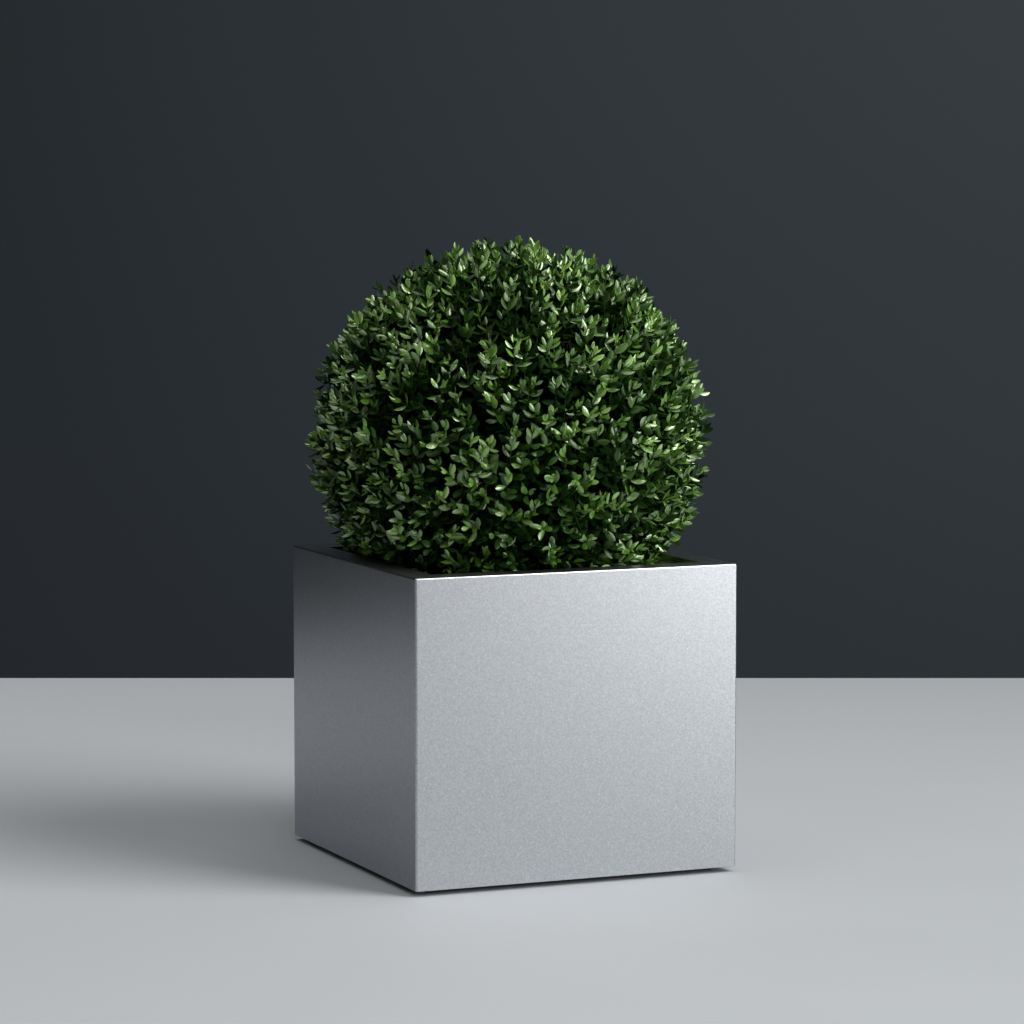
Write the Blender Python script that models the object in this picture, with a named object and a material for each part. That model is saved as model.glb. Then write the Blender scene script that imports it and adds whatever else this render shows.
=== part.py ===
"""A clipped box ball in a square metal planter, as separate solids at real size.

Metres, +Z up. The origin is the centre of the planter's underside, on the ground.
The planter's front face looks along -Y and its left face along -X.
"""

import math
import random

import bpy
import numpy as np
from mathutils import Matrix, Vector

# Planter: a folded sheet-metal box with a flat rim, on a plinth set back from its walls
PLANTER_SIDE = 0.450
SHELL_HEIGHT = 0.398
SHEET = 0.003
RIM_WIDTH = 0.0365
LIP_DROP = 0.025
FOLD_RADIUS = 0.0028
FOLD_STEPS = 3
PLINTH_HEIGHT = 0.007
PLINTH_SETBACK = 0.024
SEAT_GAP = 0.0003

# Soil: fills the planter to a little below the rim
SOIL_DROP = 0.050

# Ball: the clipped outline that the leaf tips reach, and the dense core inside it
BALL_RADIUS = 0.264
BALL_ABOVE_RIM = 0.156
CORE_RADIUS = 0.231
CAVITY_RADIUS = 0.150
CAVITY_NECK = 0.085
CORE_SIDES = 22
CORE_RINGS = 9
CAVITY_RINGS = 5
CORE_ABOVE_SOIL = 0.016

# Stem: one short trunk with a root flare, ending in a five-sided fork
STEM_SIDES = 20
STEM_HEIGHT = 0.062
STEM_FLARE = 0.033
FORK_FACETS = 5
FORK_APOTHEM = 0.0226
FORK_TOP_APOTHEM = 0.0100
FORK_HEIGHT = 0.015

# Boughs: one from each facet of the fork, and a leader from its top
BOUGH_SIDES = 8
BOUGH_RINGS = 9
BOUGH_BASE_RADIUS = 0.0088
BOUGH_TIP_RADIUS = 0.0052
BOUGH_REACH = 0.126
BOUGH_POLAR = math.radians(64)
BOUGH_SWING = math.radians(9)
STUB_SIDES = 6
STUB_SINK = 0.040

# Foliage: shoots spread evenly over the ball, each with crossed pairs of leaves and an end leaf
SEED = 23
SHOOTS_ON_SPHERE = 126
SHOOT_JITTER = math.radians(5)
SHOOT_LIFT = 0.18
SHOOT_LENGTH = 0.028
SHOOT_SINK = 0.010
SHOOT_RADIUS = 0.0028
SHOOT_END_RADIUS = 0.0020
PAIR_STATIONS = (0.42, 0.80)
PAIR_ANGLES = (math.radians(74), math.radians(58))
LEAF_LENGTH = 0.042
END_LEAF_LENGTH = 0.025
LEAF_WIDTH_SHARE = 0.52
LEAF_THICK_SHARE = 0.07
LEAF_DROOP_SHARE = 0.03
LEAF_WIDEST = 0.56
LEAF_SINK = 0.0004
END_LEAF_SINK = 0.003
TIP_SPREAD = 0.010
CLEAR_OF_POT = 0.004

# Places that follow from the sizes above
SHELL_BOTTOM = PLINTH_HEIGHT + SEAT_GAP
RIM_TOP = SHELL_BOTTOM + SHELL_HEIGHT
SOIL_TOP = RIM_TOP - SOIL_DROP
OPENING_HALF = PLANTER_SIDE / 2 - RIM_WIDTH
BALL_CENTRE = Vector((0, 0, RIM_TOP + BALL_ABOVE_RIM))
GOLDEN_ANGLE = math.pi * (3 - math.sqrt(5))


# Helpers


def clear_scene():
    for obj in list(bpy.data.objects):
        bpy.data.objects.remove(obj)


def material(name, colour, roughness, metallic=0.0):
    made = bpy.data.materials.new(name)
    made.use_nodes = True
    shader = made.node_tree.nodes["Principled BSDF"]
    shader.inputs["Base Color"].default_value = (*colour, 1)
    shader.inputs["Roughness"].default_value = roughness
    shader.inputs["Metallic"].default_value = metallic
    made.diffuse_color = (*colour, 1)
    return made


def add_object(name, points, faces, surface, sharp_angle=None):
    """One object from a list of points and faces. With sharp_angle it is shaded smooth up to that angle."""
    mesh = bpy.data.meshes.new(name)
    mesh.from_pydata([tuple(p) for p in points], [], faces)
    mesh.materials.append(surface)
    if sharp_angle is not None:
        mesh.shade_smooth()
        mesh.set_sharp_from_angle(angle=sharp_angle)
    obj = bpy.data.objects.new(name, mesh)
    bpy.context.scene.collection.objects.link(obj)
    return obj


def skin(rings):
    """(points, faces) of closed rings of equal length, joined in order and capped at both ends."""
    count = len(rings[0])
    points = [p for ring in rings for p in ring]
    faces = [tuple(reversed(range(count)))]
    for r in range(len(rings) - 1):
        low = r * count
        high = low + count
        for i in range(count):
            j = (i + 1) % count
            faces.append((low + i, low + j, high + j, high + i))
    last = (len(rings) - 1) * count
    faces.append(tuple(last + i for i in range(count)))
    return points, faces


def square_ring(half, radius, z):
    """A square with rounded corners, anticlockwise from above."""
    ring = []
    for corner in range(4):
        turn = math.pi / 2 * corner
        centre = Matrix.Rotation(turn, 3, "Z") @ Vector((half - radius, half - radius, 0))
        for step in range(FOLD_STEPS + 1):
            angle = turn + math.pi / 2 * step / FOLD_STEPS
            spoke = Vector((math.cos(angle), math.sin(angle), 0))
            ring.append(centre + spoke * radius + Vector((0, 0, z)))
    return ring


def round_ring(centre, axis, radius, sides, start=0.0):
    """A ring square to axis, anticlockwise when seen from where the axis points."""
    axis = axis.normalized()
    across = axis.cross(Vector((0, 0, 1)))
    if across.length < 1e-4:
        across = Vector((1, 0, 0))
    across.normalize()
    upward = axis.cross(across)
    ring = []
    for i in range(sides):
        angle = start + 2 * math.pi * i / sides
        ring.append(centre + (across * math.cos(angle) + upward * math.sin(angle)) * radius)
    return ring


def spherical(polar, azimuth):
    return Vector(
        (
            math.sin(polar) * math.cos(azimuth),
            math.sin(polar) * math.sin(azimuth),
            math.cos(polar),
        )
    )


# Planter


def rim_fold(half, z, inward):
    """The quarter-round fold between a wall and the flat rim, as (half width, height) steps."""
    steps = []
    for step in range(FOLD_STEPS + 1):
        angle = math.pi / 2 * step / FOLD_STEPS
        out = math.cos(angle) if not inward else math.sin(angle)
        up = math.sin(angle) if not inward else math.cos(angle)
        side = -1 if not inward else 1
        steps.append((half + side * FOLD_RADIUS * (1 - out), z - FOLD_RADIUS * (1 - up)))
    return steps


def build_planter(surface):
    """The shell: outer walls, folded rim, turned-down lip, inner walls and floor, as one turned-square profile."""
    outer = PLANTER_SIDE / 2
    under = OPENING_HALF + SHEET
    lip_end = RIM_TOP - LIP_DROP
    profile = [
        (outer, SHELL_BOTTOM),
        *rim_fold(outer, RIM_TOP, inward=False),
        *rim_fold(OPENING_HALF, RIM_TOP, inward=True),
        (OPENING_HALF, lip_end),
        (under, lip_end),
        (under, RIM_TOP - SHEET),
        (outer - SHEET, RIM_TOP - SHEET),
        (outer - SHEET, SHELL_BOTTOM + SHEET),
    ]
    rings = [square_ring(half, FOLD_RADIUS, z) for half, z in profile]
    points, faces = skin(rings)
    return add_object("planter", points, faces, surface, math.radians(40))


def build_plinth(surface):
    half = PLANTER_SIDE / 2 - PLINTH_SETBACK
    points, faces = skin([square_ring(half, FOLD_RADIUS, z) for z in (0, PLINTH_HEIGHT)])
    return add_object("plinth", points, faces, surface, math.radians(40))


def build_soil(surface):
    half = PLANTER_SIDE / 2 - SHEET - SEAT_GAP
    floor = SHELL_BOTTOM + SHEET + SEAT_GAP
    points, faces = skin([square_ring(half, FOLD_RADIUS, z) for z in (floor, SOIL_TOP)])
    return add_object("soil", points, faces, surface)


# Stem and boughs


def fork_apothem(angle, apothem):
    """Distance from the axis to a five-sided outline whose facets face 0, 72, 144 ... degrees."""
    facet = 2 * math.pi / FORK_FACETS
    off = (angle + facet / 2) % facet - facet / 2
    return apothem / math.cos(off)


def build_stem(surface):
    """A flat cut at the soil, a flare, a slight waist, and a head of five sloping facets for the boughs."""
    base = SOIL_TOP + SEAT_GAP
    head = base + STEM_HEIGHT - FORK_HEIGHT
    stations = [
        (0.0, STEM_FLARE, 0.0),
        (0.10, STEM_FLARE * 0.84, 0.0),
        (0.28, STEM_FLARE * 0.69, 0.0),
        (0.60, STEM_FLARE * 0.62, 0.2),
        (0.85, STEM_FLARE * 0.65, 0.7),
    ]
    rings = []
    for share, radius, squared in stations:
        ring = []
        for i in range(STEM_SIDES):
            angle = 2 * math.pi * i / STEM_SIDES
            ridge = 1 + 0.12 * (1 - share) ** 2 * math.cos(FORK_FACETS * angle)
            reach = radius * ridge * (1 - squared) + fork_apothem(angle, radius) * squared
            height = base + share * (head - base)
            ring.append(Vector((reach * math.cos(angle), reach * math.sin(angle), height)))
        rings.append(ring)
    for height, apothem in ((head, FORK_APOTHEM), (head + FORK_HEIGHT, FORK_TOP_APOTHEM)):
        ring = []
        for i in range(STEM_SIDES):
            angle = 2 * math.pi * i / STEM_SIDES
            reach = fork_apothem(angle, apothem)
            ring.append(Vector((reach * math.cos(angle), reach * math.sin(angle), height)))
        rings.append(ring)
    points, faces = skin(rings)
    return add_object("stem", points, faces, surface, math.radians(35))


def fork_seats():
    """(point, outward direction) where each bough leaves the fork: its five facets, then its top."""
    top = SOIL_TOP + SEAT_GAP + STEM_HEIGHT
    run = FORK_APOTHEM - FORK_TOP_APOTHEM
    slope = math.hypot(run, FORK_HEIGHT)
    middle = (FORK_APOTHEM + FORK_TOP_APOTHEM) / 2
    seats = []
    for facet in range(FORK_FACETS):
        angle = 2 * math.pi * facet / FORK_FACETS
        outward = Vector((math.cos(angle), math.sin(angle), 0))
        normal = outward * (FORK_HEIGHT / slope) + Vector((0, 0, run / slope))
        point = outward * middle + Vector((0, 0, top - FORK_HEIGHT / 2))
        seats.append((point + normal * SEAT_GAP, normal))
    seats.append((Vector((0, 0, top + SEAT_GAP)), Vector((0, 0, 1))))
    return seats


def bough_tips(rng):
    """(point, direction) of each bough's tip: on a sphere inside the ball, looking out from its centre."""
    tips = []
    for facet in range(FORK_FACETS):
        azimuth = 2 * math.pi * facet / FORK_FACETS + rng.uniform(-BOUGH_SWING, BOUGH_SWING)
        direction = spherical(BOUGH_POLAR + rng.uniform(-BOUGH_SWING, BOUGH_SWING), azimuth)
        tips.append((BALL_CENTRE + direction * BOUGH_REACH, direction))
    leader = spherical(BOUGH_SWING, rng.uniform(0, 2 * math.pi))
    tips.append((BALL_CENTRE + leader * BOUGH_REACH, leader))
    return tips


def bezier(start, start_pull, end_pull, end, share):
    """(point, direction) on a cubic curve."""
    a, b, c, d = start, start + start_pull, end - end_pull, end
    keep = 1 - share
    point = a * keep**3 + b * 3 * keep**2 * share + c * 3 * keep * share**2 + d * share**3
    way = (b - a) * keep**2 + (c - b) * 2 * keep * share + (d - c) * share**2
    return point, way.normalized()


def build_bough(number, seat, tip, surface):
    """One tapering limb on a smooth curve, square to the fork's facet and to its tip's direction."""
    start, leave = seat
    end, arrive = tip
    pull = (end - start).length * 0.38
    rings = []
    for r in range(BOUGH_RINGS):
        share = r / (BOUGH_RINGS - 1)
        point, way = bezier(start, leave * pull, arrive * pull, end, share)
        radius = BOUGH_BASE_RADIUS + (BOUGH_TIP_RADIUS - BOUGH_BASE_RADIUS) * share
        rings.append(round_ring(point, way, radius, BOUGH_SIDES))
    points, faces = skin(rings)
    return add_object(f"bough_{number}", points, faces, surface, math.radians(50))


# Foliage


def build_core(surface):
    """The dense inside of the clipped ball: a thick dome with a cavity for the limbs, open below."""
    bottom = SOIL_TOP + CORE_ABOVE_SOIL - BALL_CENTRE.z
    outer_end = math.acos(bottom / CORE_RADIUS)
    inner_end = math.pi - math.asin(CAVITY_NECK / CAVITY_RADIUS)
    profile = []
    for r in range(1, CORE_RINGS + 1):
        angle = outer_end * r / CORE_RINGS
        profile.append((CORE_RADIUS * math.sin(angle), CORE_RADIUS * math.cos(angle)))
    profile.append((CAVITY_NECK, bottom))
    for r in range(CAVITY_RINGS, 0, -1):
        angle = inner_end * r / CAVITY_RINGS
        profile.append((CAVITY_RADIUS * math.sin(angle), CAVITY_RADIUS * math.cos(angle)))
    rings = []
    for radius, height in reversed(profile):
        centre = BALL_CENTRE + Vector((0, 0, height))
        rings.append(round_ring(centre, Vector((0, 0, 1)), radius, CORE_SIDES))
    points, faces = skin(rings)
    return cap_with_poles(points, faces, surface)


def cap_with_poles(points, faces, surface):
    """Closes the dome's two flat end caps with one raised point each, so that the top is round."""
    inner_cap, outer_cap = faces[0], faces[-1]
    faces = faces[1:-1]
    for cap, radius in ((inner_cap, CAVITY_RADIUS), (outer_cap, CORE_RADIUS)):
        pole = len(points)
        points = [*points, BALL_CENTRE + Vector((0, 0, radius))]
        for i, corner in enumerate(cap):
            faces.append((corner, cap[(i + 1) % len(cap)], pole))
    return add_object("foliage", points, faces, surface)


def in_space(point):
    """True where the ball may grow: inside its outline, above the soil, and clear of the rim and its lip."""
    if (point - BALL_CENTRE).length > BALL_RADIUS + TIP_SPREAD:
        return False
    if point.z < SOIL_TOP + CLEAR_OF_POT:
        return False
    inside_opening = max(abs(point.x), abs(point.y)) < OPENING_HALF - CLEAR_OF_POT
    return inside_opening or point.z > RIM_TOP + CLEAR_OF_POT


def fits(points):
    """True if the corners, and the middles between them, all lie where the ball may grow."""
    for i, a in enumerate(points):
        if not in_space(a):
            return False
        for b in points[i + 1 :]:
            if not in_space((a + b) / 2):
                return False
    return True


def leaf_blade(root, along, outward, length):
    """(points, faces) of a blade of six faces with its upper side to outward: root, tip, two edges and a keel."""
    along = along.normalized()
    across = outward.cross(along).normalized()
    normal = along.cross(across)
    half = LEAF_WIDTH_SHARE * length / 2
    middle = root + along * (LEAF_WIDEST * length)
    points = [
        root,
        root + along * length - normal * (LEAF_DROOP_SHARE * length),
        middle + across * half,
        middle - across * half,
        middle - normal * (LEAF_THICK_SHARE * length),
    ]
    faces = [
        (0, 3, 2),
        (1, 2, 3),
        (0, 2, 4),
        (2, 1, 4),
        (1, 3, 4),
        (3, 0, 4),
    ]
    return points, faces


def shoot_directions(rng):
    """Even directions over the ball on a golden-angle spiral, a little disturbed."""
    found = []
    for i in range(SHOOTS_ON_SPHERE):
        polar = math.acos(1 - 2 * (i + 0.5) / SHOOTS_ON_SPHERE)
        direction = spherical(polar, GOLDEN_ANGLE * i)
        lean = Vector((rng.gauss(0, 1), rng.gauss(0, 1), rng.gauss(0, 1)))
        found.append((direction + lean * (SHOOT_JITTER / 2)).normalized())
    return found


def grow_shoot(direction, rng):
    """The pieces of one shoot: a three-sided twig out of the core, crossed pairs of leaves, and an end leaf."""
    foot = BALL_CENTRE + direction * (CORE_RADIUS - SHOOT_SINK)
    along = (direction + Vector((0, 0, SHOOT_LIFT))).normalized()
    end = foot + along * SHOOT_LENGTH
    if not in_space(end):
        return []
    roll = rng.uniform(0, math.pi)
    twig = skin(
        [
            round_ring(foot, along, SHOOT_RADIUS, 3, roll),
            round_ring(end, along, SHOOT_END_RADIUS, 3, roll),
        ]
    )
    pieces = [twig]
    side = round_ring(Vector((0, 0, 0)), along, 1.0, 4, roll + rng.uniform(-0.4, 0.4))
    for pair, (station, angle) in enumerate(zip(PAIR_STATIONS, PAIR_ANGLES)):
        for leaf in range(2):
            spoke = side[(pair + 2 * leaf) % 4]
            spread = angle + rng.uniform(-0.16, 0.16)
            way = along * math.cos(spread) + spoke * math.sin(spread)
            root = foot + along * (SHOOT_LENGTH * station) - spoke * LEAF_SINK
            length = LEAF_LENGTH * rng.uniform(0.84, 1.08)
            pieces.append(leaf_blade(root, way, along, length))
    tilt = side[0] * math.sin(0.22) + along * math.cos(0.22)
    end_root = end - along * END_LEAF_SINK
    pieces.append(leaf_blade(end_root, tilt, side[2], END_LEAF_LENGTH))
    return [twig] + [piece for piece in pieces[1:] if fits(piece[0])]


def bough_stubs(tips):
    """The ends of the foliage's own stems, which meet the boughs' tips inside the cavity."""
    stubs = []
    for point, direction in tips:
        start = point + direction * SEAT_GAP
        finish = start + direction * STUB_SINK
        stubs.append(
            skin(
                [
                    round_ring(start, direction, BOUGH_TIP_RADIUS * 0.94, STUB_SIDES),
                    round_ring(finish, direction, BOUGH_TIP_RADIUS * 0.80, STUB_SIDES),
                ]
            )
        )
    return stubs


def fuse(core, pieces, surface):
    """Joins the core and every piece by one Boolean union, then removes the pieces."""
    group = bpy.data.collections.new("pieces")
    bpy.context.scene.collection.children.link(group)
    for number, (points, faces) in enumerate(pieces):
        obj = add_object(f"piece_{number}", points, faces, surface)
        bpy.context.scene.collection.objects.unlink(obj)
        group.objects.link(obj)
    union = core.modifiers.new("union", "BOOLEAN")
    union.operation = "UNION"
    union.operand_type = "COLLECTION"
    union.solver = "MANIFOLD"
    union.collection = group
    graph = bpy.context.evaluated_depsgraph_get()
    fused = bpy.data.meshes.new_from_object(core.evaluated_get(graph))
    core.modifiers.clear()
    core.data = fused
    for obj in list(group.objects):
        bpy.data.objects.remove(obj)
    bpy.data.collections.remove(group)


def build_foliage(tips, surface):
    rng = random.Random(SEED)
    core = build_core(surface)
    pieces = bough_stubs(tips)
    for direction in shoot_directions(rng):
        pieces += grow_shoot(direction, rng)
    fuse(core, pieces, surface)
    return core


def main():
    clear_scene()
    silver = material("silver_sheet", (0.56, 0.57, 0.59), 0.42, 0.9)
    black = material("black_base", (0.02, 0.02, 0.022), 0.6)
    earth = material("potting_soil", (0.035, 0.024, 0.016), 0.95)
    bark = material("bark", (0.16, 0.125, 0.085), 0.85)
    green = material("leaf_green", (0.035, 0.105, 0.022), 0.4)
    tips = bough_tips(random.Random(SEED))
    build_planter(silver)
    build_plinth(black)
    build_soil(earth)
    build_stem(bark)
    for number, (seat, tip) in enumerate(zip(fork_seats(), tips), start=1):
        build_bough(number, seat, tip, bark)
    build_foliage(tips, green)


main()
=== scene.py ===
"""The looks of a clipped box ball in a silver planter: finishes, bark, twigs, life-size leaves."""

import math
import random

import bpy
import numpy as np
from mathutils import Matrix, Vector, noise


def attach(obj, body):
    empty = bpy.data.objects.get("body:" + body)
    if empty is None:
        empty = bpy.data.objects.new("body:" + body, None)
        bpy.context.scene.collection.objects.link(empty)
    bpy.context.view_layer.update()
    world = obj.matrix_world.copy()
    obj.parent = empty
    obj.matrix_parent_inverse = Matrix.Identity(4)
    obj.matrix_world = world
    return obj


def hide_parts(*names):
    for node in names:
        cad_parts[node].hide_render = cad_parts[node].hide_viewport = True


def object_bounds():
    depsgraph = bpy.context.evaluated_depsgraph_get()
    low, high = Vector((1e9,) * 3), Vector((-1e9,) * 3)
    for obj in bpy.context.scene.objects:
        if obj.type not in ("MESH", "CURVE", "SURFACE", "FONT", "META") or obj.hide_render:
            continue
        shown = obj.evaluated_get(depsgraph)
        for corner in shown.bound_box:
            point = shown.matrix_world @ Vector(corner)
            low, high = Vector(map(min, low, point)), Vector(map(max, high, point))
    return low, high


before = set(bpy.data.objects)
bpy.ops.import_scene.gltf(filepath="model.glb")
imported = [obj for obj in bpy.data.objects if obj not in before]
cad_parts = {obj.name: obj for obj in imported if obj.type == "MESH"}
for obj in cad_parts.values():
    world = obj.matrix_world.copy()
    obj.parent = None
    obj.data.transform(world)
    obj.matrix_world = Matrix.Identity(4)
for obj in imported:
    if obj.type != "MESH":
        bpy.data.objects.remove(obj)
CAD_BOX = [list(corner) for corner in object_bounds()]

# Sizes that the solids have too, in metres
PLANTER_SIDE = 0.450
SHELL_HEIGHT = 0.398
SHEET = 0.003
RIM_WIDTH = 0.0365
LIP_DROP = 0.025
FOLD_RADIUS = 0.0028
PLINTH_HEIGHT = 0.007
SEAT_GAP = 0.0003
SOIL_DROP = 0.050
BALL_RADIUS = 0.264
BALL_ABOVE_RIM = 0.156
STEM_HEIGHT = 0.062
STEM_FLARE = 0.033
FORK_FACETS = 5
FORK_APOTHEM = 0.0226
FORK_TOP_APOTHEM = 0.0100
FORK_HEIGHT = 0.015
BOUGH_BASE_RADIUS = 0.0088
BOUGH_TIP_RADIUS = 0.0052
BOUGH_REACH = 0.126
BOUGH_POLAR = math.radians(64)
BOUGH_SWING = math.radians(9)
SEED = 23

SHELL_BOTTOM = PLINTH_HEIGHT + SEAT_GAP
RIM_TOP = SHELL_BOTTOM + SHELL_HEIGHT
SOIL_TOP = RIM_TOP - SOIL_DROP
OPENING_HALF = PLANTER_SIDE / 2 - RIM_WIDTH
BALL_CENTRE = Vector((0, 0, RIM_TOP + BALL_ABOVE_RIM))
CENTRE = np.array(BALL_CENTRE)
GOLDEN_ANGLE = math.pi * (3 - math.sqrt(5))
UP = np.array([0.0, 0.0, 1.0])

# The planter's edges
FOOT_BEVEL = 0.0004
OUTER_FOLD = FOLD_RADIUS * 0.8
INNER_FOLD = FOLD_RADIUS * 0.35
FOLD_STEPS = 8
SHELL_SHARP_ANGLE = math.radians(50)

# The soil's crumbly top
SOIL_SQUARES = 110
SOIL_DIP = 0.0035
SOIL_LUMP = 0.003
SOIL_LUMP_SCALE = 45
SOIL_FRACTAL = (0.7, 2.2, 4)  # fractal increment, lacunarity, octaves
SOIL_SHARP_ANGLE = math.radians(60)

# Stem and boughs: mesh steps, root ridges and bark
STEM_SIDES = 60
STEM_STEPS = 30
FORK_STEPS = 6
ROOT_RIDGE = 0.12
STEM_BARK_DEPTH = 0.0016
BOUGH_SIDES = 20
BOUGH_STEPS = 64
BOUGH_PULL = 0.38  # of the way from its seat to its tip
BOUGH_BARK_DEPTH = 0.0009
BARK_SCALE_ACROSS = 420
BARK_SCALE_UP = 70
OFF_AXIS = Vector((0.3, 0.2, 1))  # no bough runs along it

# Foliage at life size
SHOOTS_ON_SPHERE = 1520
SHOOT_JITTER = 1.0
SHOOT_END_RADIUS = 0.2512
SHOOT_LENGTH = 0.062
SHOOT_LIFT = 0.80
LIFT_LOSS = 0.15  # share of the lift that is lost from the ball's top to its middle
SHOOT_SCATTER = 0.24
INNER_SHOOTS_ON_SPHERE = 1300
INNER_JITTER = 1.1
INNER_END_RADIUS = 0.2080
TWIGS_ON_SPHERE = 330
TWIG_JITTER = 1.0
TWIG_RADIUS = 0.196
LIMBS_ON_SPHERE = 48
LIMB_JITTER = 0.8
LIMB_RADIUS = 0.160
LEAF_LENGTH = 0.0200
LEAF_WIDTH_SHARE = 0.435
CLEAR_OF_POT = 0.003
BALL_MARGIN = 0.010
BOX_MARGIN = 0.001
MOST_LEAVES = 9500  # in one piece, which keeps it under 200,000 triangles

# How the clipped outline wanders: a scatter for each shoot, one swell at the upper left, and waves
OUTLINE_SCATTER = 0.0066
SWELL_WAY = np.array([-0.65, 0.28, 0.707])
SWELL_HEIGHT = 0.005
SWELL_SHARPNESS = 12
WAVES = ((9, 5, 11, 0.0012), (16, 20, 44, 0.0016))  # how many, lowest and highest pitch, height
LAST_PHASE = 6.3  # about a full turn

# The wood in the ball, as curved tubes: how hard their ends pull on the curve, and for each
# kind how far its foot is sunk, its first and last radius, and its rings and sides
TUBE_PULL = 0.36
TUBES = {
    "limbs": (0.004, BOUGH_TIP_RADIUS * 0.80, 0.0024, 9, 8),
    "twigs": (0.003, 0.0021, 0.0013, 6, 6),
    "side_twigs": (0.002, 0.0011, 0.0008, 4, 4),
    "shoots": (0.001, 0.0009, 0.0005, 3, 4),
}

# The leaf: stations along the blade, as (share of length, share of half width, rise of its edges)
LEAF_STATIONS = (
    (0.10, 0.40, -0.05),
    (0.29, 0.84, -0.12),
    (0.51, 1.0, -0.15),
    (0.74, 0.80, -0.12),
    (0.91, 0.38, -0.05),
)
LEAF_TIP_RISE = 0.01

# Each shoot's pairs of leaves: distance below its end, degrees from the shoot, share of full
# length, and how many shades lower than the pair at the end, partly older leaves and partly
# painted shade deeper in the ball
PAIRS = (
    (0.0000, 16, 0.58, 0),
    (0.0075, 32, 0.82, 0),
    (0.0175, 43, 0.96, 1),
    (0.0285, 49, 1.02, 2),
    (0.0400, 53, 1.02, 3),
    (0.0520, 56, 0.98, 4),
)

# How the leaves vary, and how much they face along their shoot, outwards and up
SHOOT_SIZES = (0.90, 1.10)
LEAF_SIZES = (0.84, 1.10)
LEAF_WIDTHS = (0.88, 1.14)
LEAF_DROOPS = (0.06, 0.30)
TURN_SCATTER = 0.32
SPREAD_SCATTER = 0.20
ROOT_SCATTER = 0.001
FACE_ALONG = 0.8
FACE_OUTWARDS = 0.7
FACE_UP = 0.25
FACE_SCATTER = 0.55

# Each shade of leaf: its name, colour, roughness, gloss, and share of the outer shoots.
# The inner shoots have the first one, and their leaves stay in it: near-black painted shade for
# the ball's core. The second, leaf_shade, is dark leaves and also painted shade on the lowest
# leaves.
LEAF_SHADES = (
    ("leaf_inner_painted_shade", (0.0008, 0.0045, 0.0003), 0.70, 0.00, 0.00),
    ("leaf_shade", (0.004, 0.018, 0.001), 0.50, 0.03, 0.08),
    ("leaf_deep", (0.018, 0.062, 0.003), 0.36, 0.30, 0.21),
    ("leaf_mid", (0.056, 0.150, 0.009), 0.30, 1.0, 0.28),
    ("leaf_bright", (0.103, 0.238, 0.021), 0.29, 1.0, 0.26),
    ("leaf_fresh", (0.178, 0.348, 0.048), 0.28, 1.0, 0.18),
)
LEAF_IOR = 1.85
LEAF_TINT = (0.92, 1.0, 0.79, 1)

# The studio: camera, floor, wall and lights
VIEW_YAW = math.radians(23.15)
VIEW_PITCH = math.radians(5.36)
CAMERA_AT = Vector((-2.0014, -4.6878, 0.9397))
LENS = 135.6
SENSOR_WIDTH = 36
FLOOR_AHEAD = -14
FLOOR_BEHIND = 1.74
FLOOR_HALF = 9
WALL_BEHIND = 7.0
WALL_HALF = 10
WALL_BOTTOM = -3
WALL_TOP = 1.7
WORLD_COLOUR = (0.0105, 0.0124, 0.0140, 1)
LIT_POINT = Vector((0, 0, 0.3))

# Each softbox: its name, degrees right of the planter's front, degrees up, distance, width and
# height, and power in watts
LIGHTS = (
    ("key", 40, 18, 5.0, (2.8, 4.6), 178),
    ("high", 42, 44, 5.0, (3.0, 3.0), 160),
    ("front", -8, 22, 5.0, (2.4, 2.4), 40),
    ("above", 0, 90, 5.0, (2.4, 2.4), 40),
    ("wide", 0, 90, 5.0, (8.0, 8.0), 56),
    ("left", -76, 56, 6.0, (5.0, 5.0), 48),
)


# Materials


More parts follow.
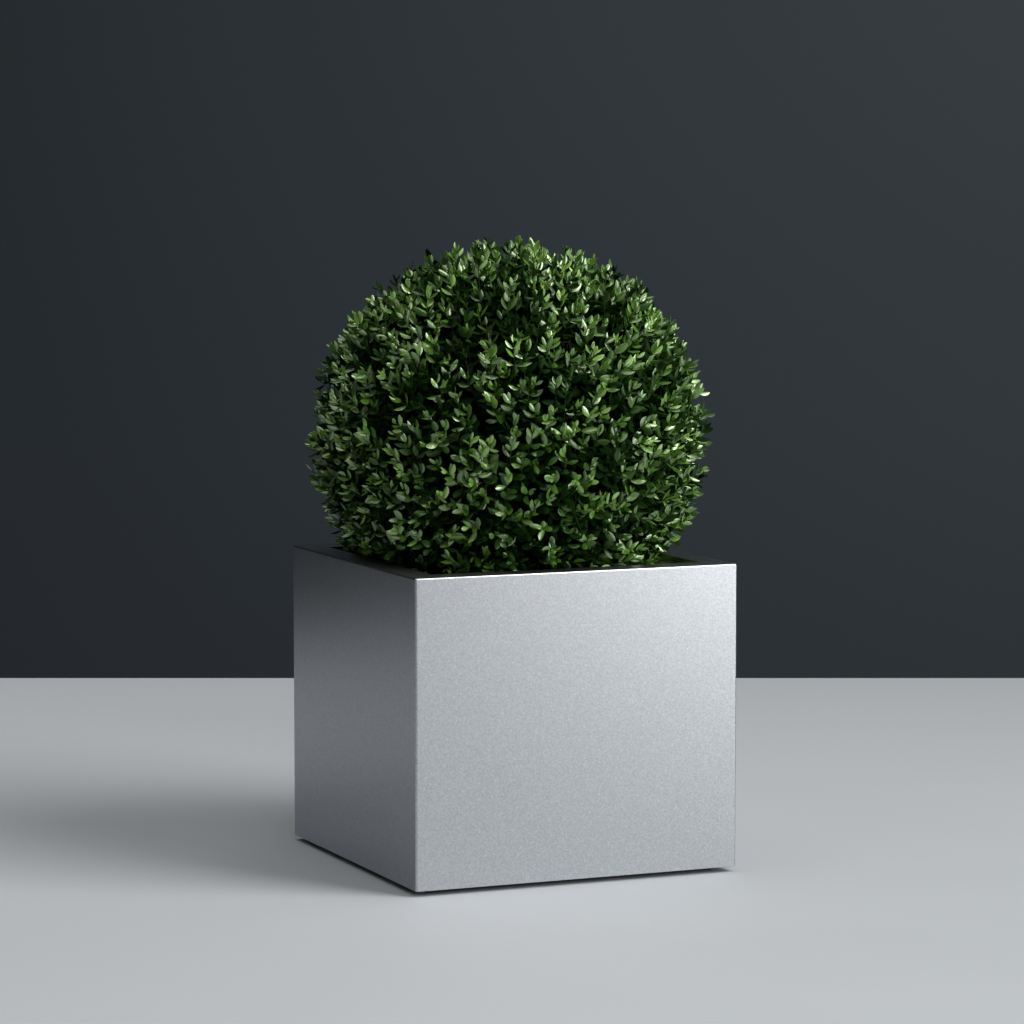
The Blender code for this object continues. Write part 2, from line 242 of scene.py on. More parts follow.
class Shader:
    """A Principled material whose sockets are fed by nodes, in object coordinates."""

    # Sockets of the Mix node where it mixes colours
    MIX_FIRST = 6
    MIX_SECOND = 7
    MIX_RESULT = 2

    def __init__(self, name, colour, roughness, metallic=0.0):
        self.material = bpy.data.materials.new(name)
        self.material.use_nodes = True
        self.nodes = self.material.node_tree.nodes
        self.links = self.material.node_tree.links
        self.bsdf = self.nodes["Principled BSDF"]
        self.set("Base Color", (*colour, 1))
        self.set("Roughness", roughness)
        self.set("Metallic", metallic)
        self.material.diffuse_color = (*colour, 1)
        self.place = None

    def set(self, socket, value):
        self.bsdf.inputs[socket].default_value = value

    def add(self, kind, inputs=None, **settings):
        made = self.nodes.new(kind)
        for name, value in settings.items():
            setattr(made, name, value)
        for name, value in (inputs or {}).items():
            if isinstance(value, bpy.types.NodeSocket):
                self.links.new(value, made.inputs[name])
            else:
                made.inputs[name].default_value = value
        return made

    def feed(self, socket, output):
        self.links.new(output, self.bsdf.inputs[socket])

    def position(self, stretch=(1, 1, 1)):
        """Object coordinates, which are metres, stretched along the axes."""
        if self.place is None:
            self.place = self.add("ShaderNodeTexCoord").outputs["Object"]
        if stretch == (1, 1, 1):
            return self.place
        settings = {"Vector": self.place, "Scale": stretch}
        return self.add("ShaderNodeMapping", settings).outputs[0]

    def axes(self):
        """The outputs X, Y and Z of the object coordinates."""
        return self.add("ShaderNodeSeparateXYZ", {"Vector": self.position()}).outputs

    def noise(self, scale, detail=2.0, rough=0.5, stretch=(1, 1, 1)):
        settings = {
            "Vector": self.position(stretch),
            "Scale": scale,
            "Detail": detail,
            "Roughness": rough,
        }
        return self.add("ShaderNodeTexNoise", settings).outputs["Fac"]

    def cells(self, scale):
        """One random value for each small cell."""
        settings = {"Vector": self.position(), "Scale": scale}
        colour = self.add("ShaderNodeTexVoronoi", settings).outputs["Color"]
        return self.add("ShaderNodeSeparateColor", {"Color": colour}).outputs[0]

    def ramp(self, value, low, high, out_low=0.0, out_high=1.0):
        settings = {
            "Value": value,
            "From Min": low,
            "From Max": high,
            "To Min": out_low,
            "To Max": out_high,
        }
        return self.add("ShaderNodeMapRange", settings).outputs[0]

    def blend(self, factor, first, second):
        """A colour between two: first where factor is 0, second where it is 1."""
        made = self.add("ShaderNodeMix", data_type="RGBA")
        self.links.new(factor, made.inputs[0])
        for socket, value in ((self.MIX_FIRST, first), (self.MIX_SECOND, second)):
            if isinstance(value, bpy.types.NodeSocket):
                self.links.new(value, made.inputs[socket])
            else:
                made.inputs[socket].default_value = (*value, 1)
        return made.outputs[self.MIX_RESULT]

    def paint(self, factor, first, second):
        """Feeds the base colour with a blend."""
        self.feed("Base Color", self.blend(factor, first, second))

    def bump(self, height, strength, distance):
        settings = {"Height": height, "Strength": strength, "Distance": distance}
        self.feed("Normal", self.add("ShaderNodeBump", settings).outputs[0])


def silver_material():
    """Satin silver coat: fine mottled grain with small bright flakes."""
    dark_grain = (0.446, 0.460, 0.480)
    light_grain = (0.600, 0.613, 0.633)
    flake_colour = (0.74, 0.745, 0.76)
    shader = Shader("silver_sheet", (0.53, 0.54, 0.555), 0.28, 1.0)
    shader.set("Specular Tint", (0.70, 0.72, 0.75, 1))
    grain = shader.ramp(shader.noise(430, 2.0, 0.6), 0.3, 0.7)
    mottled = shader.blend(grain, dark_grain, light_grain)
    flake = shader.ramp(shader.cells(520), 0.95, 1.0, 0.0, 0.5)
    shader.paint(flake, mottled, flake_colour)
    return shader.material


def plinth_material():
    shader = Shader("black_base", (0.018, 0.018, 0.02), 0.6)
    speck = shader.noise(500, 2.0)
    shader.paint(speck, (0.014, 0.014, 0.016), (0.026, 0.026, 0.028))
    shader.bump(speck, 0.2, 0.0003)
    return shader.material


def soil_material():
    shader = Shader("potting_soil", (0.03, 0.02, 0.014), 0.95)
    crumb = shader.noise(260, 4.0, 0.7)
    shader.paint(shader.ramp(crumb, 0.35, 0.7), (0.012, 0.008, 0.006), (0.055, 0.038, 0.026))
    shader.bump(crumb, 0.8, 0.002)
    return shader.material


def bark_material():
    shader = Shader("bark", (0.12, 0.095, 0.065), 0.85)
    ridges = shader.noise(90, 4.0, 0.6, (1, 1, 0.25))
    shader.paint(shader.ramp(ridges, 0.35, 0.68), (0.055, 0.042, 0.03), (0.19, 0.155, 0.11))
    shader.bump(ridges, 0.6, 0.0015)
    return shader.material


def painted_shade_twig_material():
    # Near-black bark: painted shade, so the limbs and twigs inside the ball look as dark as the
    # shade there
    shader = Shader("twig_bark_painted_shade", (0.014, 0.012, 0.006), 0.85)
    shader.paint(shader.noise(120, 3.0), (0.009, 0.008, 0.004), (0.021, 0.018, 0.009))
    return shader.material


def painted_shade_shoot_material():
    # Dark green bark: green shoots with painted shade, so they sink into the dark inside the ball
    shader = Shader("green_bark_painted_shade", (0.018, 0.036, 0.006), 0.7)
    shader.set("Specular IOR Level", 0.1)
    shader.paint(shader.noise(150), (0.013, 0.027, 0.004), (0.024, 0.046, 0.008))
    return shader.material


def leaf_material(name, colour, roughness, gloss):
    shader = Shader(name, colour, roughness)
    shader.set("IOR", LEAF_IOR)
    shader.set("Specular IOR Level", gloss)
    shader.set("Specular Tint", LEAF_TINT)
    return shader.material


# Meshes


def link_object(name, mesh):
    obj = bpy.data.objects.new(name, mesh)
    bpy.context.scene.collection.objects.link(obj)
    return obj


def add_mesh(name, points, faces, material, sharp_angle=None):
    """A smooth mesh object from points and faces, with sharp edges above sharp_angle if given."""
    mesh = bpy.data.meshes.new(name)
    mesh.from_pydata([tuple(p) for p in points], [], faces)
    mesh.materials.append(material)
    mesh.shade_smooth()
    if sharp_angle is not None:
        mesh.set_sharp_from_angle(angle=sharp_angle)
    return link_object(name, mesh)


def add_arrays(name, points, sides_of_faces, corners, material):
    """A smooth mesh object from arrays: points, corners in each face, and all corners in order."""
    mesh = bpy.data.meshes.new(name)
    mesh.vertices.add(len(points))
    mesh.vertices.foreach_set("co", np.ascontiguousarray(points, np.float32).ravel())
    mesh.loops.add(len(corners))
    mesh.loops.foreach_set("vertex_index", np.ascontiguousarray(corners, np.int32))
    starts = np.concatenate([[0], np.cumsum(sides_of_faces)[:-1]])
    mesh.polygons.add(len(sides_of_faces))
    mesh.polygons.foreach_set("loop_start", np.ascontiguousarray(starts, np.int32))
    mesh.polygons.foreach_set("loop_total", np.ascontiguousarray(sides_of_faces, np.int32))
    mesh.materials.append(material)
    mesh.update(calc_edges=True)
    mesh.shade_smooth()
    return link_object(name, mesh)


def skin(rings):
    """(points, faces) of closed rings of equal length, joined in order and capped at both ends."""
    count = len(rings[0])
    points = [p for ring in rings for p in ring]
    faces = [tuple(reversed(range(count)))]
    for r in range(len(rings) - 1):
        low = r * count
        high = low + count
        for i in range(count):
            j = (i + 1) % count
            faces.append((low + i, low + j, high + j, high + i))
    last = (len(rings) - 1) * count
    faces.append(tuple(last + i for i in range(count)))
    return points, faces


def finish_piece(obj, slot, *nodes):
    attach(obj, "root")
    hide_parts(*nodes)


def unit(vectors):
    return vectors / np.linalg.norm(vectors, axis=-1, keepdims=True)


# Planter and soil


def square_ring(half, radius, z):
    """A level square of that half side at height z, with rounded corners."""
    ring = []
    for corner in range(4):
        turn = math.pi / 2 * corner
        centre = Matrix.Rotation(turn, 3, "Z") @ Vector((half - radius, half - radius, 0))
        for step in range(FOLD_STEPS + 1):
            angle = turn + math.pi / 2 * step / FOLD_STEPS
            spoke = Vector((math.cos(angle), math.sin(angle), 0))
            ring.append(centre + spoke * radius + Vector((0, 0, z)))
    return ring


def rim_fold(half, z, radius, inward):
    """A folded edge in section, from its wall to the rim's top, or the other way if inward."""
    steps = []
    for step in range(FOLD_STEPS + 1):
        angle = math.pi / 2 * step / FOLD_STEPS
        out = math.cos(angle) if not inward else math.sin(angle)
        up = math.sin(angle) if not inward else math.cos(angle)
        side = -1 if not inward else 1
        steps.append((half + side * radius * (1 - out), z - radius * (1 - up)))
    return steps


def build_planter():
    outer = PLANTER_SIDE / 2
    under = OPENING_HALF + SHEET
    lip_end = RIM_TOP - LIP_DROP
    profile = [
        (outer - FOOT_BEVEL, SHELL_BOTTOM),
        (outer, SHELL_BOTTOM + FOOT_BEVEL),
        *rim_fold(outer, RIM_TOP, OUTER_FOLD, inward=False),
        *rim_fold(OPENING_HALF, RIM_TOP, INNER_FOLD, inward=True),
        (OPENING_HALF, lip_end),
        (under, lip_end),
        (under, RIM_TOP - SHEET),
        (outer - SHEET, RIM_TOP - SHEET),
        (outer - SHEET, SHELL_BOTTOM + SHEET),
    ]
    points, faces = skin([square_ring(half, FOLD_RADIUS, z) for half, z in profile])
    planter = add_mesh("planter_shell", points, faces, silver_material(), SHELL_SHARP_ANGLE)
    weights = planter.modifiers.new("even shading", "WEIGHTED_NORMAL")
    weights.keep_sharp = True
    weights.weight = 100
    finish_piece(planter, "silver_sheet", "planter")


def build_soil():
    """The potting mix, with a crumbly top just under the solid's level."""
    half = PLANTER_SIDE / 2 - SHEET - SEAT_GAP
    floor = SHELL_BOTTOM + SHEET + SEAT_GAP
    count = SOIL_SQUARES
    points = []
    for row in range(count + 1):
        for column in range(count + 1):
            x = half * (2 * column / count - 1)
            y = half * (2 * row / count - 1)
            lump = noise.fractal(Vector((x, y, 0)) * SOIL_LUMP_SCALE, *SOIL_FRACTAL)
            points.append((x, y, SOIL_TOP - SOIL_DIP + SOIL_LUMP * max(-1.0, min(1.0, lump))))
    faces = []
    for row in range(count):
        for column in range(count):
            a = row * (count + 1) + column
            faces.append((a, a + 1, a + count + 2, a + count + 1))
    border = list(range(count))
    border += [row * (count + 1) + count for row in range(count)]
    border += [count * (count + 1) + column for column in range(count, 0, -1)]
    border += [row * (count + 1) for row in range(count, 0, -1)]
    lower = len(points)
    points += [(points[i][0], points[i][1], floor) for i in border]
    for i, a in enumerate(border):
        j = (i + 1) % len(border)
        faces.append((border[j], a, lower + i, lower + j))
    faces.append(tuple(reversed(range(lower, len(points)))))
    soil = add_mesh("soil_bed", points, faces, soil_material(), SOIL_SHARP_ANGLE)
    finish_piece(soil, "potting_soil", "soil")


# Stem and boughs


def spherical(polar, azimuth):
    return Vector(
        (
            math.sin(polar) * math.cos(azimuth),
            math.sin(polar) * math.sin(azimuth),
            math.cos(polar),
        )
    )


def fork_apothem(angle, apothem):
    """How far the five-sided fork reaches at an angle."""
    facet = 2 * math.pi / FORK_FACETS
    off = (angle + facet / 2) % facet - facet / 2
    return apothem / math.cos(off)


def bark_relief(point, depth):
    """Ridges that run up the limb, always inwards of the solid's surface."""
    across = BARK_SCALE_ACROSS
    stretched = Vector((point.x * across, point.y * across, point.z * BARK_SCALE_UP))
    return depth * (0.5 + 0.5 * noise.noise(stretched))


def stem_ring(height, radius, squared, share):
    """A ring of the stem: round with root ridges where squared is 0, five-sided where it is 1."""
    ring = []
    for i in range(STEM_SIDES):
        angle = 2 * math.pi * i / STEM_SIDES
        ridge = 1 + ROOT_RIDGE * (1 - share) ** 2 * math.cos(FORK_FACETS * angle)
        reach = radius * ridge * (1 - squared) + fork_apothem(angle, radius) * squared
        point = Vector((reach * math.cos(angle), reach * math.sin(angle), height))
        reach -= bark_relief(point, STEM_BARK_DEPTH)
        ring.append(Vector((reach * math.cos(angle), reach * math.sin(angle), height)))
    return ring


def build_stem(material):
    base = SOIL_TOP + SEAT_GAP
    head = base + STEM_HEIGHT - FORK_HEIGHT
    # Share of the height up to the fork, radius, and how five-sided the stem is there
    stations = [
        (0.0, STEM_FLARE, 0.0),
        (0.10, STEM_FLARE * 0.84, 0.0),
        (0.28, STEM_FLARE * 0.69, 0.0),
        (0.60, STEM_FLARE * 0.62, 0.2),
        (0.85, STEM_FLARE * 0.65, 0.7),
        (1.0, FORK_APOTHEM, 1.0),
    ]
    rings = []
    for step in range(STEM_STEPS + 1):
        share = step / STEM_STEPS
        upper = next(i for i in range(1, len(stations)) if share <= stations[i][0] + 1e-9)
        (s0, r0, q0), (s1, r1, q1) = stations[upper - 1], stations[upper]
        mix = (share - s0) / (s1 - s0)
        radius = r0 + (r1 - r0) * mix
        squared = q0 + (q1 - q0) * mix
        rings.append(stem_ring(base + share * (head - base), radius, squared, share))
    for step in range(1, FORK_STEPS + 1):
        mix = step / FORK_STEPS
        apothem = FORK_APOTHEM + (FORK_TOP_APOTHEM - FORK_APOTHEM) * mix
        rings.append(stem_ring(head + FORK_HEIGHT * mix, apothem, 1.0, 1.0))
    points, faces = skin(rings)
    stem = add_mesh("stem_bark", points, faces, material)
    finish_piece(stem, "bark", "stem")


def fork_seats():
    """The point and normal where each bough leaves the fork: its five facets, then its top."""
    top = SOIL_TOP + SEAT_GAP + STEM_HEIGHT
    run = FORK_APOTHEM - FORK_TOP_APOTHEM
    slope = math.hypot(run, FORK_HEIGHT)
    middle = (FORK_APOTHEM + FORK_TOP_APOTHEM) / 2
    seats = []
    for facet in range(FORK_FACETS):
        angle = 2 * math.pi * facet / FORK_FACETS
        outward = Vector((math.cos(angle), math.sin(angle), 0))
        normal = outward * (FORK_HEIGHT / slope) + Vector((0, 0, run / slope))
        point = outward * middle + Vector((0, 0, top - FORK_HEIGHT / 2))
        seats.append((point + normal * SEAT_GAP, normal))
    seats.append((Vector((0, 0, top + SEAT_GAP)), Vector((0, 0, 1))))
    return seats


def bough_tips(rng):
    """The point and direction of each bough's tip, in the order of the fork's seats."""
    tips = []
    for facet in range(FORK_FACETS):
        azimuth = 2 * math.pi * facet / FORK_FACETS + rng.uniform(-BOUGH_SWING, BOUGH_SWING)
        direction = spherical(BOUGH_POLAR + rng.uniform(-BOUGH_SWING, BOUGH_SWING), azimuth)
        tips.append((BALL_CENTRE + direction * BOUGH_REACH, direction))
    leader = spherical(BOUGH_SWING, rng.uniform(0, 2 * math.pi))
    tips.append((BALL_CENTRE + leader * BOUGH_REACH, leader))
    return tips


def bezier(start, start_pull, end_pull, end, share):
    a, b, c, d = start, start + start_pull, end - end_pull, end
    keep = 1 - share
    point = a * keep**3 + b * 3 * keep**2 * share + c * 3 * keep * share**2 + d * share**3
    way = (b - a) * keep**2 + (c - b) * 2 * keep * share + (d - c) * share**2
    return point, way.normalized()


def build_bough(number, seat, tip, material):
    start, leave = seat
    end, arrive = tip
    pull = (end - start).length * BOUGH_PULL
    rings = []
    for r in range(BOUGH_STEPS + 1):
        share = r / BOUGH_STEPS
        point, way = bezier(start, leave * pull, arrive * pull, end, share)
        radius = BOUGH_BASE_RADIUS + (BOUGH_TIP_RADIUS - BOUGH_BASE_RADIUS) * share
        across = way.cross(OFF_AXIS).normalized()
        upward = way.cross(across)
        ring = []
        for i in range(BOUGH_SIDES):
            angle = 2 * math.pi * i / BOUGH_SIDES
            spoke = across * math.cos(angle) + upward * math.sin(angle)
            reach = radius - bark_relief(point + spoke * radius, BOUGH_BARK_DEPTH)
            ring.append(point + spoke * reach)
        rings.append(ring)
    points, faces = skin(rings)
    bough = add_mesh(f"bough_bark_{number}", points, faces, material)
    finish_piece(bough, "bark", f"bough_{number}")


# Foliage


def in_space(points):
    """True for each point where the ball may grow: in its outline, clear of soil, rim and lip."""
    near = np.linalg.norm(points - CENTRE, axis=-1) < BALL_RADIUS + BALL_MARGIN
    low, high = CAD_BOX
    above_low = points > np.array(low) - BOX_MARGIN
    below_high = points < np.array(high) + BOX_MARGIN
    boxed = np.all(above_low & below_high, axis=-1)
    above_soil = points[..., 2] > SOIL_TOP + CLEAR_OF_POT
    above_rim = points[..., 2] > RIM_TOP + CLEAR_OF_POT
    inside_opening = np.abs(points[..., :2]).max(axis=-1) < OPENING_HALF - CLEAR_OF_POT
    return near & above_soil & boxed & (inside_opening | above_rim)


def golden_directions(count, jitter, rng):
    """Even directions over the ball on a golden-angle spiral, a little disturbed."""
    i = np.arange(count)
    polar = np.arccos(1 - 2 * (i + 0.5) / count)
    azimuth = GOLDEN_ANGLE * i
    level = np.sin(polar)
    even = np.stack([level * np.cos(azimuth), level * np.sin(azimuth), np.cos(polar)], axis=1)
    return unit(even + rng.normal(0, jitter / math.sqrt(count), (count, 3)))


def spread(count, jitter, radius, rng):
    """The ways and ends of limbs or twigs: even over the ball, at one radius, in its space."""
    ways = golden_directions(count, jitter, rng)
    ends = CENTRE + ways * radius
    keep = in_space(ends)
    return ways[keep], ends[keep]


def nearest(directions, parents):
    """The index of each direction's closest parent."""
    return np.argmax(directions @ parents.T, axis=1)


def not_along(ways, steepest):
    """An axis well off each way: Z, or X where the way is steeper than steepest."""
    return np.where(np.abs(ways[:, 2:3]) > steepest, np.array([[1.0, 0, 0]]), UP)


def tubes(name, feet, foot_ways, ends, end_ways, material):
    """Tapering tubes on smooth curves, with their feet sunk, joined into one mesh."""
    sunk, first_radius, last_radius, rings, sides = TUBES[name]
    count = len(ends)
    starts = feet - foot_ways * sunk
    length = np.linalg.norm(ends - starts, axis=1, keepdims=True)
    leave = starts + foot_ways * length * TUBE_PULL
    arrive = ends - end_ways * length * TUBE_PULL
    share = np.linspace(0, 1, rings)[None, :, None]
    keep = 1 - share
    a, b, c, d = (p[:, None, :] for p in (starts, leave, arrive, ends))
    centre = a * keep**3 + 3 * b * keep**2 * share + 3 * c * keep * share**2 + d * share**3
    way = unit((b - a) * keep**2 + 2 * (c - b) * keep * share + (d - c) * share**2)
    aside = not_along(unit(ends - starts), steepest=0.8)
    across = unit(np.cross(way, aside[:, None, :]))
    upward = np.cross(way, across)
    angle = (2 * np.pi * np.arange(sides) / sides)[:, None]
    spoke = across[:, :, None, :] * np.cos(angle) + upward[:, :, None, :] * np.sin(angle)
    radius = first_radius + (last_radius - first_radius) * share[..., None]
    points = centre[:, :, None, :] + spoke * radius
    ring = np.arange(rings - 1)[:, None] * sides
    i = np.arange(sides)[None, :]
    j = (i + 1) % sides
    quads = [ring + i, ring + j, ring + sides + j, ring + sides + i]
    quads = np.stack(quads, axis=-1).reshape(-1, 4)
    caps = np.stack([np.arange(sides)[::-1], (rings - 1) * sides + np.arange(sides)])
    offsets = np.arange(count)[:, None, None] * rings * sides
    corners = [(quads[None] + offsets).reshape(-1), (caps[None] + offsets).reshape(-1)]
    totals = np.concatenate([np.full(count * len(quads), 4), np.full(count * 2, sides)])
    return add_arrays(name, points.reshape(-1, 3), totals, np.concatenate(corners), material)


def leaf_template():
    """A blade one long: its points, as (across, along, raised), and its faces."""
    points = [(0.0, 0.0, 0.0)]
    for along, half, rise in LEAF_STATIONS:
        points += [(-half, along, rise), (0.0, along, 0.0), (half, along, rise)]
    points.append((0.0, 1.0, LEAF_TIP_RISE))
    tip = len(points) - 1
    faces = [(0, 2, 1), (0, 3, 2)]
    for row in range(len(LEAF_STATIONS) - 1):
        a = 1 + 3 * row
        faces.append((a, a + 1, a + 4, a + 3))
        faces.append((a + 1, a + 2, a + 5, a + 4))
    a = 1 + 3 * (len(LEAF_STATIONS) - 1)
    faces += [(a, a + 1, tip), (a + 1, a + 2, tip)]
    return np.array(points), faces


def leaf_points(roots, along, normal, length, width, droop, template):
    """The points of every leaf, as an array (leaf, point, 3)."""
    across = unit(np.cross(along, normal))
    normal = np.cross(across, along)
    t = template[None, :, 1:2]
    side = template[None, :, 0:1] * (width * length / 2)[:, None, None]
    forward = t * length[:, None, None]
    rise = (template[None, :, 2:3] - droop[:, None, None] * t**2) * length[:, None, None]
    blade = along[:, None] * forward
    return roots[:, None] + across[:, None] * side + blade + normal[:, None] * rise


def grow_leaves(ends, ways, outward, shades, rng):
    """Crossed pairs of leaves on every shoot, as (leaf points, leaf shades)."""
    count = len(ends)
    rolls = rng.uniform(0, np.pi, count)
    sizes = rng.uniform(*SHOOT_SIZES, count)
    template, _ = leaf_template()
    first = unit(np.cross(ways, not_along(ways, steepest=0.9)))
    second = np.cross(ways, first)
    found = []
    found_shades = []
    for number, (below, angle, share, age_and_painted_shade_steps) in enumerate(PAIRS):
        for leaf in range(2):
            turn = rolls + np.pi / 2 * number + np.pi * leaf + rng.normal(0, TURN_SCATTER, count)
            spoke = first * np.cos(turn)[:, None] + second * np.sin(turn)[:, None]
            angles = np.radians(angle) + rng.normal(0, SPREAD_SCATTER, count)
            along = ways * np.cos(angles)[:, None] + spoke * np.sin(angles)[:, None]
            facing = ways * FACE_ALONG + outward * FACE_OUTWARDS + UP * FACE_UP
            facing = facing + rng.normal(0, FACE_SCATTER, (count, 3))
            facing = unit(facing - along * np.sum(facing * along, axis=1, keepdims=True))
            depth = below * sizes + rng.uniform(0, ROOT_SCATTER, count)
            roots = ends - ways * depth[:, None]
            length = LEAF_LENGTH * share * sizes * rng.uniform(*LEAF_SIZES, count)
            width = LEAF_WIDTH_SHARE * rng.uniform(*LEAF_WIDTHS, count)
            droop = rng.uniform(*LEAF_DROOPS, count)
            points = leaf_points(roots, along, facing, length, width, droop, template)
            keep = in_space(points).all(axis=1)
            found.append(points[keep])
            # Lower leaves take lower shades, partly as older leaves and partly as painted shade
            # deeper in the ball, down to shade 1, and an inner shoot's leaves are all 0
            darkest = np.minimum(shades[keep], 1)
            found_shades.append(np.maximum(shades[keep] - age_and_painted_shade_steps, darkest))
    return np.concatenate(found), np.concatenate(found_shades)


def add_leaves(name, points, material):
    _, faces = leaf_template()
    totals = np.tile([len(face) for face in faces], len(points))
    corners = np.array([corner for face in faces for corner in face])
    corners = corners[None] + np.arange(len(points))[:, None] * points.shape[1]
    return add_arrays(name, points.reshape(-1, 3), totals, corners.ravel(), material)


def outline(directions, rng):
    """How far the clipped surface stands in or out in each direction."""
    depth = rng.normal(0, OUTLINE_SCATTER, len(directions))
    depth += SWELL_HEIGHT * np.exp(SWELL_SHARPNESS * (directions @ SWELL_WAY - 1))
    for waves, lowest, highest, height in WAVES:
        for wave in range(waves):
            axis = unit(rng.normal(0, 1, 3))
            pitch = rng.uniform(lowest, highest)
            depth += height * np.sin(directions @ axis * pitch + rng.uniform(0, LAST_PHASE))
    return depth


def place_shoots(rng):
    """Each shoot's way outwards, its end, the way it leans, and whether it is an outer one."""
    outer = golden_directions(SHOOTS_ON_SPHERE, SHOOT_JITTER, rng)
    inner = golden_directions(INNER_SHOOTS_ON_SPHERE, INNER_JITTER, rng)
    outward = np.concatenate([outer, inner])
    outer_reach = SHOOT_END_RADIUS + outline(outer, rng)
    reach = np.concatenate([outer_reach, np.full(len(inner), INNER_END_RADIUS)])
    ends = CENTRE + outward * reach[:, None]
    lift = SHOOT_LIFT * (1 - LIFT_LOSS + LIFT_LOSS * outward[:, 2:3])
    lean = unit(outward + UP * lift + rng.normal(0, SHOOT_SCATTER, outward.shape))
    is_outer = np.arange(len(ends)) < len(outer)
    keep = in_space(ends)
    return outward[keep], ends[keep], lean[keep], is_outer[keep]


def build_foliage(tips):
    rng = np.random.default_rng(SEED)
    tip_ends = np.array([list(point) for point, _ in tips])
    tip_ways = np.array([list(direction) for _, direction in tips])
    outward, ends, lean, is_outer = place_shoots(rng)
    feet = ends - lean * SHOOT_LENGTH
    twig_ways, twig_ends = spread(TWIGS_ON_SPHERE, TWIG_JITTER, TWIG_RADIUS, rng)
    limb_ways, limb_ends = spread(LIMBS_ON_SPHERE, LIMB_JITTER, LIMB_RADIUS, rng)

    # The limbs and twigs take the near-black painted shade bark
    bark = painted_shade_twig_material()
    tip = nearest(limb_ways, tip_ways)
    limbs = tubes("limbs", tip_ends[tip], tip_ways[tip], limb_ends, limb_ways, bark)
    limb = nearest(twig_ways, limb_ways)
    twigs = tubes("twigs", limb_ends[limb], limb_ways[limb], twig_ends, twig_ways, bark)
    twig = nearest(outward, twig_ways)
    side_twigs = tubes("side_twigs", twig_ends[twig], twig_ways[twig], feet, lean, bark)
    shoots = tubes("shoots", feet, lean, ends, lean, painted_shade_shoot_material())
    for piece in (limbs, twigs, side_twigs):
        finish_piece(piece, "bark", "foliage")
    finish_piece(shoots, "leaves", "foliage")

    chances = np.array([share for *_, share in LEAF_SHADES])
    shades = rng.choice(len(LEAF_SHADES), len(ends), p=chances / chances.sum())
    shades = np.where(is_outer, shades, 0)
    points, leaf_shades = grow_leaves(ends, lean, outward, shades, rng)
    for number, (name, colour, roughness, gloss, _) in enumerate(LEAF_SHADES):
        material = leaf_material(name, colour, roughness, gloss)
        shade_points = points[leaf_shades == number]
        lots = math.ceil(len(shade_points) / MOST_LEAVES)
        for lot, some in enumerate(np.array_split(shade_points, lots), start=1):
            leaves = add_leaves(f"{name}_{lot}", some, material)
            finish_piece(leaves, "leaves", "foliage")


# Studio


def stage_sheet(name, points, material):
    """A flat stage piece, given along the view: across it, ahead and up."""
    sheet = add_mesh(name, points, [(0, 1, 2, 3)], material)
    sheet.rotation_euler = (0, 0, -VIEW_YAW)


def build_floor():
    """A pale matt floor with painted light: it is lighter to the left and to the back."""
    shader = Shader("pale_floor", (0.43, 0.442, 0.45), 0.7)
    shader.set("Specular IOR Level", 0.15)
    place = shader.axes()
    # Painted light: the floor's colour grows lighter to the left and to the back
    leftward = shader.ramp(place["X"], 1.2, -1.2)
    near = shader.blend(leftward, (0.379, 0.399, 0.411), (0.552, 0.572, 0.594))
    far = shader.blend(leftward, (0.471, 0.493, 0.512), (0.638, 0.662, 0.690))
    pale = shader.blend(shader.ramp(place["Y"], -0.6, 1.7), near, far)
    cloud = shader.ramp(shader.noise(3.0, 3.0), 0.3, 0.7, 0.0, 0.12)
    shader.paint(cloud, pale, (0.53, 0.55, 0.573))
    corners = (
        (-FLOOR_HALF, FLOOR_AHEAD),
        (FLOOR_HALF, FLOOR_AHEAD),
        (FLOOR_HALF, FLOOR_BEHIND),
        (-FLOOR_HALF, FLOOR_BEHIND),
    )
    stage_sheet("floor", [(x, y, 0) for x, y in corners], shader.material)


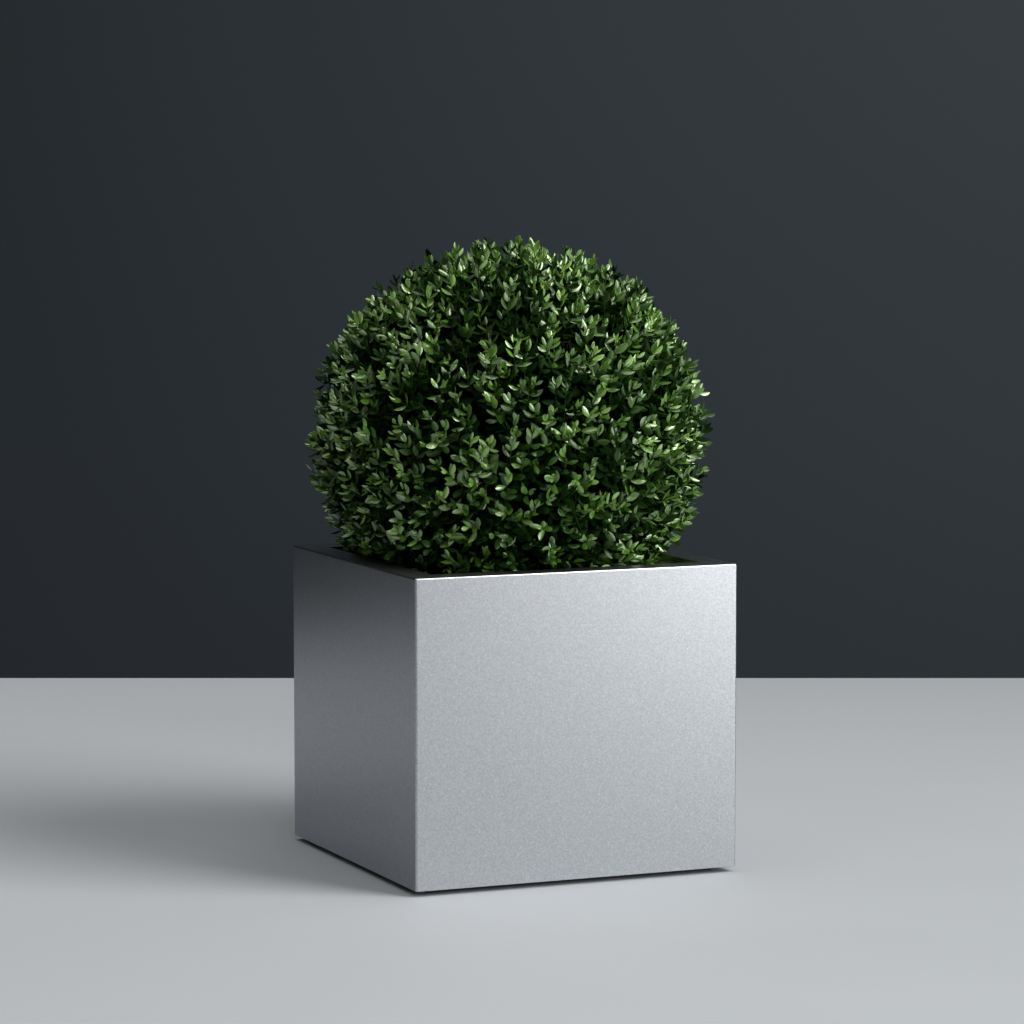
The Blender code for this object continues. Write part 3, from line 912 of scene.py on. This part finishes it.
def build_wall():
    """A dark wall with painted light: lighter to the right, most of all high up."""
    shader = Shader("dark_wall", (0.09, 0.10, 0.11), 0.9)
    shader.set("Specular IOR Level", 0.0)
    place = shader.axes()
    # Painted light: the wall's colour grows lighter to the right and upwards
    rightward = shader.ramp(place["X"], -1.6, 1.6)
    low = shader.blend(rightward, (0.062, 0.073, 0.087), (0.084, 0.102, 0.115))
    high = shader.blend(rightward, (0.057, 0.071, 0.080), (0.102, 0.121, 0.138))
    shader.paint(shader.ramp(place["Z"], -0.6, 1.3), low, high)
    corners = (
        (-WALL_HALF, WALL_BOTTOM),
        (WALL_HALF, WALL_BOTTOM),
        (WALL_HALF, WALL_TOP),
        (-WALL_HALF, WALL_TOP),
    )
    stage_sheet("wall", [(x, WALL_BEHIND, z) for x, z in corners], shader.material)


def add_area(name, place, aim, size, watts):
    light = bpy.data.lights.new(name, "AREA")
    light.shape = "RECTANGLE"
    light.size, light.size_y = size
    light.energy = watts
    obj = link_object(name, light)
    obj.location = place
    obj.rotation_euler = (aim - place).to_track_quat("-Z", "Y").to_euler()
    obj.visible_camera = False


def build_lights():
    for name, turn, rise, reach, size, watts in LIGHTS:
        away = spherical(math.radians(90 - rise), math.radians(turn - 90)) * reach
        add_area(name, away + LIT_POINT, LIT_POINT, size, watts)
    world = bpy.data.worlds.new("studio")
    bpy.context.scene.world = world
    world.use_nodes = True
    shade = world.node_tree.nodes["Background"]
    shade.inputs["Color"].default_value = WORLD_COLOUR
    shade.inputs["Strength"].default_value = 1.0


def build_camera():
    data = bpy.data.cameras.new("camera")
    data.lens = LENS
    data.sensor_width = SENSOR_WIDTH
    camera = link_object("camera", data)
    camera.location = CAMERA_AT
    look = Vector(
        (
            math.sin(VIEW_YAW) * math.cos(VIEW_PITCH),
            math.cos(VIEW_YAW) * math.cos(VIEW_PITCH),
            -math.sin(VIEW_PITCH),
        )
    )
    camera.rotation_euler = look.to_track_quat("-Z", "Y").to_euler()
    bpy.context.scene.camera = camera


def main():
    bpy.context.scene.view_settings.view_transform = "Standard"
    build_planter()
    build_soil()
    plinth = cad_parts["plinth"]
    plinth.material_slots[0].material = plinth_material()
    bark = bark_material()
    build_stem(bark)
    tips = bough_tips(random.Random(SEED))
    for number, (seat, tip) in enumerate(zip(fork_seats(), tips), start=1):
        build_bough(number, seat, tip, bark)
    build_foliage(tips)
    build_floor()
    build_wall()
    build_lights()
    build_camera()


main()
